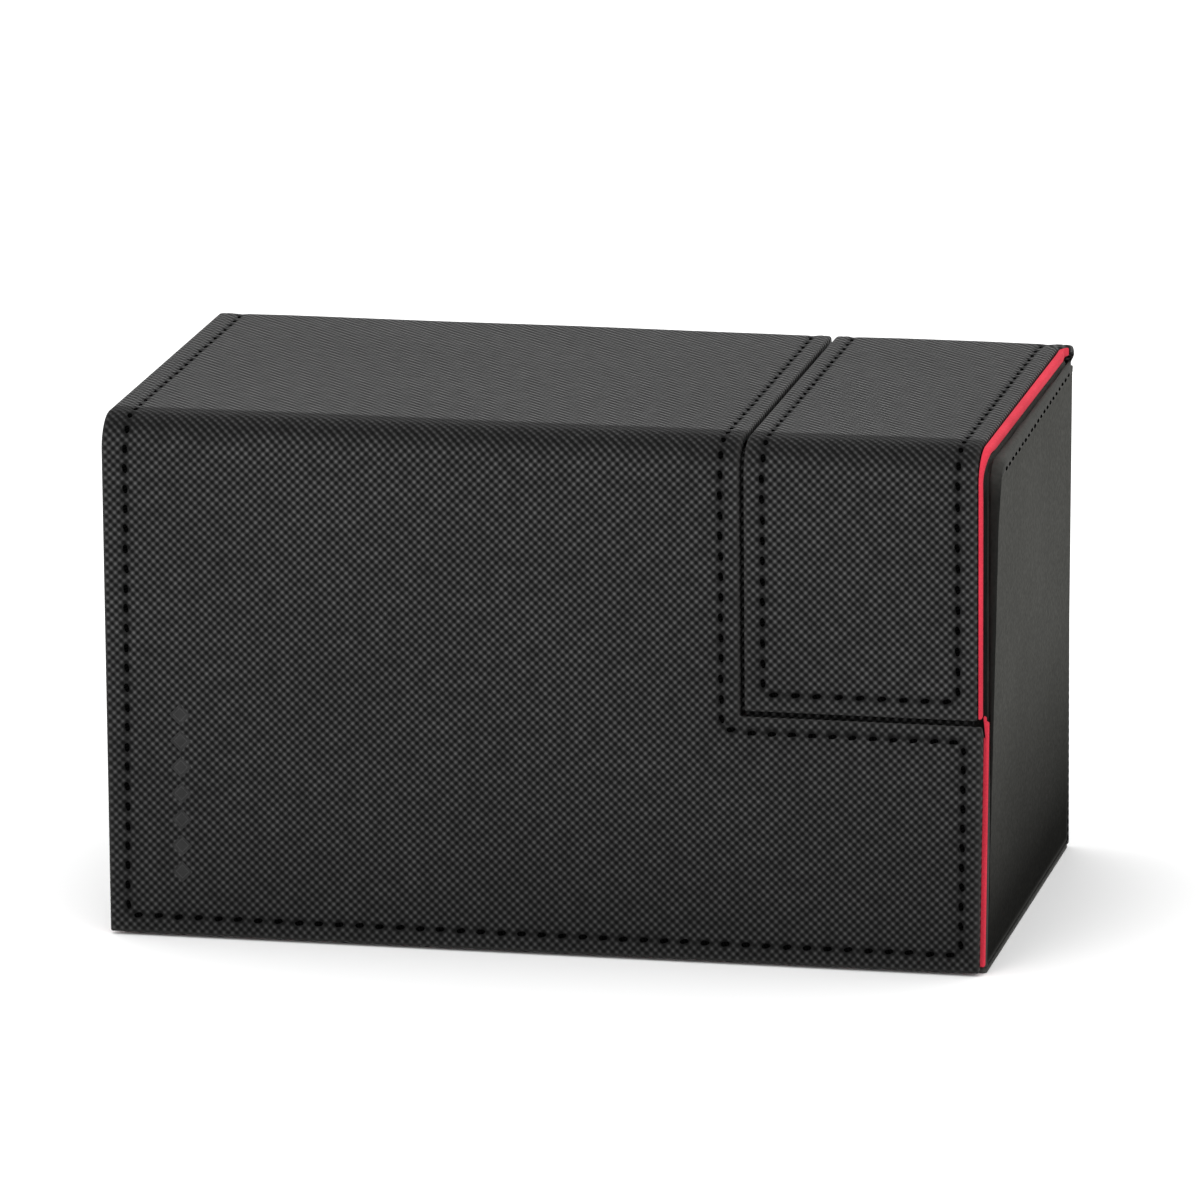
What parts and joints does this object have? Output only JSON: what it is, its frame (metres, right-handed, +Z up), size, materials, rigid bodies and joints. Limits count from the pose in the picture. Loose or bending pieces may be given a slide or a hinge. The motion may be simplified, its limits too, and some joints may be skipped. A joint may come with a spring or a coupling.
{
  "type": "card deck box",
  "caption": "Rectangular card deck box in embossed leathercloth, with a wide card-bay lid and a narrow dice-bay lid, each folding down over the front.",
  "frame": {"origin": "middle of the base on the table, at the centre of the closed box's footprint", "axes": "+Z up, +X along the width from the card bay to the dice bay, front flaps face -Y"},
  "size_m": [0.1722, 0.0973, 0.1026],
  "materials": {
    "embossed_leathercloth": "small woven emboss, satin",
    "plain_leathercloth": "fine grain, satin",
    "suede": "short suede nap",
    "board": "grey board, raw",
    "thread": "twisted polyester",
    "magnet": "nickel plate"
  },
  "bodies": {
    "box": {"base_board": "board", "bottom_cover": "plain_leathercloth", "left_wall_board": "board", "right_wall_board": "board", "front_wall_board": "board", "back_wall_board": "board", "partition_board": "board", "left_wall_cover": "plain_leathercloth", "right_wall_cover": "plain_leathercloth", "left_rim_binding": "embossed_leathercloth", "right_rim_binding": "embossed_leathercloth", "front_wall_cover": "embossed_leathercloth", "back_panel_board": "board", "back_panel_cover": "embossed_leathercloth", "card_bay_lining": "suede", "card_bay_floor": "suede", "dice_bay_lining": "suede", "dice_bay_floor": "suede", "partition_cap": "suede", "main_catch_magnets": "magnet", "small_catch_magnets": "magnet", "rim_stitching": "thread", "back_panel_stitching": "thread"},
    "main_lid": {"main_lid_board": "board", "main_lid_cover": "embossed_leathercloth", "main_lid_lining": "suede", "main_fold_cover": "embossed_leathercloth", "main_fold_lining": "suede", "main_hinge_cover": "embossed_leathercloth", "main_hinge_lining": "suede", "main_lid_stitching": "thread"},
    "main_flap": {"main_flap_board": "board", "main_flap_cover": "embossed_leathercloth", "main_flap_lining": "suede", "main_flap_magnets": "magnet", "main_flap_stitching": "thread"},
    "small_lid": {"small_lid_board": "board", "small_lid_cover": "embossed_leathercloth", "small_lid_lining": "suede", "small_fold_cover": "embossed_leathercloth", "small_fold_lining": "suede", "small_hinge_cover": "embossed_leathercloth", "small_hinge_lining": "suede", "small_lid_stitching": "thread"},
    "small_flap": {"small_flap_board": "board", "small_flap_cover": "embossed_leathercloth", "small_flap_lining": "suede", "small_flap_magnets": "magnet", "small_flap_stitching": "thread"}
  },
  "joints": [
    {"name": "main_lid_hinge", "type": "hinge", "parent": "box", "child": "main_lid", "pos_m": [0, 0.04775, 0.10165], "axis": [-1, 0, 0], "range_deg": [0, 180]},
    {"name": "main_flap_fold", "type": "hinge", "parent": "main_lid", "child": "main_flap", "pos_m": [0, -0.0471, 0.101], "axis": [-1, 0, 0], "range_deg": [0, 90]},
    {"name": "small_lid_hinge", "type": "hinge", "parent": "box", "child": "small_lid", "pos_m": [0, 0.04775, 0.10165], "axis": [-1, 0, 0], "range_deg": [0, 180]},
    {"name": "small_flap_fold", "type": "hinge", "parent": "small_lid", "child": "small_flap", "pos_m": [0, -0.0471, 0.101], "axis": [-1, 0, 0], "range_deg": [0, 90]}
  ]
}
